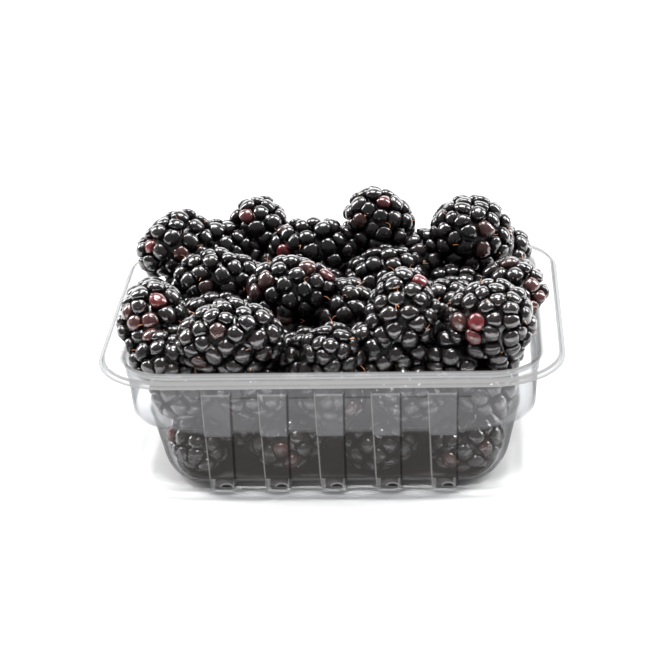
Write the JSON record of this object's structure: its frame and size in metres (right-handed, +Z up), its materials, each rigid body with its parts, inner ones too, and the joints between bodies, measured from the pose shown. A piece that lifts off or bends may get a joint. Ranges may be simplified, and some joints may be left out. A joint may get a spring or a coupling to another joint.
{
  "type": "punnet of bramble berries",
  "caption": "Open clear ribbed punnet with a turned-down rim and drain holes, heaped with dark bramble berries.",
  "frame": {"origin": "middle of the punnet's footprint, on the surface that it stands on", "axes": "+X along the punnet's long side, +Y across it towards the back, +Z up"},
  "size_m": [0.143, 0.114, 0.07],
  "materials": {
    "clear_plastic": "clear formed sheet, polished",
    "berry_skin": "moist black berry skin, glossy"
  },
  "bodies": {
    "root": {"punnet": "clear_plastic", "berry_heap": "berry_skin"}
  },
  "joints": []
}
